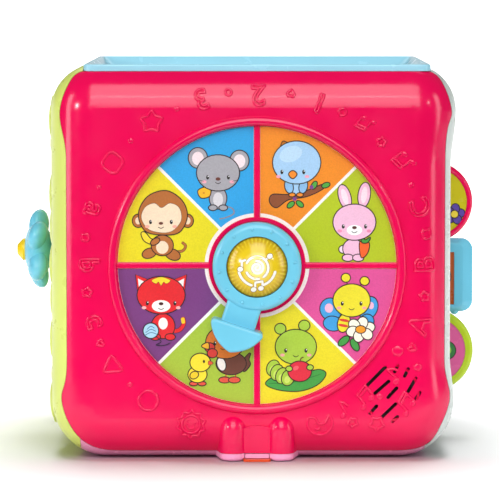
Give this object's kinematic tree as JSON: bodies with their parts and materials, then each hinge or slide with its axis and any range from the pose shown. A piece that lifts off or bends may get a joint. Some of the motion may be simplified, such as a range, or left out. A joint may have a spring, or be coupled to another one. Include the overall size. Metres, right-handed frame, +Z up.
{
  "type": "baby activity cube",
  "caption": "Rounded toy cube with a turning picture dial and push button, flip tiles, a flower spinner, a shape-sorter tray and a base hatch.",
  "frame": {"origin": "on the plane the cube stands on, straight below the dial's axis and midway between the front and back panels", "axes": "+Z up, the dial faces -Y, the flip tiles are on +X and the flower on -X"},
  "size_m": [0.37, 0.324, 0.306],
  "materials": {
    "magenta_plastic": "glossy moulded ABS, magenta",
    "green_plastic": "glossy moulded ABS, lime green",
    "white_plastic": "glossy moulded ABS, white",
    "blue_plastic": "glossy moulded ABS, light blue",
    "pink_plastic": "glossy moulded ABS, pale pink",
    "lilac_plastic": "glossy moulded ABS, lilac",
    "lime_plastic": "glossy moulded ABS, lime",
    "yellow_plastic": "glossy moulded ABS, yellow",
    "orange_plastic": "glossy moulded ABS, orange",
    "amber_lens": "clear tinted polycarbonate, yellow",
    "black_plastic": "moulded black plastic",
    "printed_label": "printed, laminated label",
    "inner_plastic": "unpainted inner plastic",
    "board": "green circuit board",
    "steel": "plated steel",
    "silicone": "silicone rubber",
    "cell_jacket": "printed cell jacket, plain",
    "cone_paper": "black speaker cone"
  },
  "bodies": {
    "cube_body": {"front_shell": "magenta_plastic", "back_shell": "lilac_plastic", "left_shell": "green_plastic", "right_shell": "white_plastic", "top_shell": "blue_plastic", "base_shell": "pink_plastic", "sorter_plate": "blue_plastic", "sorter_collar_circle": "yellow_plastic", "sorter_collar_square": "magenta_plastic", "sorter_collar_triangle": "lime_plastic", "sorter_collar_star": "orange_plastic", "dial_labels": "printed_label", "button_guide": "inner_plastic", "button_spring": "silicone", "main_board": "board", "button_switch": "black_plastic", "button_lamps": "amber_lens", "board_components": "black_plastic", "board_posts": "inner_plastic", "speaker_basket": "black_plastic", "speaker_cone": "cone_paper", "speaker_magnet": "steel", "speaker_lead": "black_plastic", "battery_lead": "black_plastic", "module_cover": "inner_plastic", "case_screws": "steel", "battery_box": "inner_plastic", "battery_cells": "cell_jacket", "battery_contacts": "steel", "battery_door": "pink_plastic", "battery_screw": "steel", "flip_axle": "steel", "flip_spacers": "inner_plastic", "hatch_pin": "steel", "clock_label": "printed_label", "volume_switch": "black_plastic"},
    "pointer": {"pointer": "blue_plastic", "pointer_clip": "inner_plastic"},
    "button": {"button_lens": "amber_lens", "button_plunger": "inner_plastic"},
    "flip_top": {"flip_disc_top": "magenta_plastic", "flip_inset_top": "yellow_plastic"},
    "flip_mid": {"flip_tile_mid": "blue_plastic", "flip_inset_mid": "orange_plastic"},
    "flip_low": {"flip_disc_low": "lime_plastic", "flip_inset_low": "pink_plastic"},
    "flower": {"flower_petals": "blue_plastic", "flower_nose": "yellow_plastic", "flower_washer": "steel", "flower_screw": "steel"},
    "hatch": {"hatch_door": "pink_plastic", "latch_spring": "steel"},
    "latch": {"latch_tab": "orange_plastic"},
    "clock_hand": {"clock_hand": "yellow_plastic", "clock_clip": "inner_plastic"},
    "volume": {"volume_knob": "orange_plastic"}
  },
  "joints": [
    {"name": "pointer_turn", "type": "hinge", "parent": "cube_body", "child": "pointer", "pos_m": [0, -0.157, 0.1515], "axis": [0, 1, 0], "continuous": true},
    {"name": "button_press", "type": "slide", "parent": "cube_body", "child": "button", "axis": [0, 1, 0], "range_m": [0, 0.003], "stiffness_N_per_m": 400, "deforming": ["button_spring"]},
    {"name": "flip_top_spin", "type": "hinge", "parent": "cube_body", "child": "flip_top", "pos_m": [0.142, 0, 0.1914], "axis": [0, 0, 1], "continuous": true},
    {"name": "flip_mid_spin", "type": "hinge", "parent": "cube_body", "child": "flip_mid", "pos_m": [0.142, 0, 0.132], "axis": [0, 0, 1], "continuous": true},
    {"name": "flip_low_spin", "type": "hinge", "parent": "cube_body", "child": "flip_low", "pos_m": [0.142, 0, 0.0705], "axis": [0, 0, 1], "continuous": true},
    {"name": "flower_turn", "type": "hinge", "parent": "cube_body", "child": "flower", "pos_m": [-0.17, 0, 0.1525], "axis": [1, 0, 0], "continuous": true},
    {"name": "hatch_hinge", "type": "hinge", "parent": "cube_body", "child": "hatch", "pos_m": [0, 0.101, 0.0045], "axis": [1, 0, 0], "range_deg": [0, 100]},
    {"name": "latch_press", "type": "slide", "parent": "hatch", "child": "latch", "axis": [0, 1, 0], "range_m": [0, 0.003], "stiffness_N_per_m": 300, "deforming": ["latch_spring"]},
    {"name": "volume_slide", "type": "slide", "parent": "cube_body", "child": "volume", "axis": [1, 0, 0], "range_m": [-0.005, 0.005]},
    {"name": "clock_turn", "type": "hinge", "parent": "cube_body", "child": "clock_hand", "pos_m": [0, 0.151, 0.19], "axis": [0, 1, 0], "continuous": true}
  ]
}
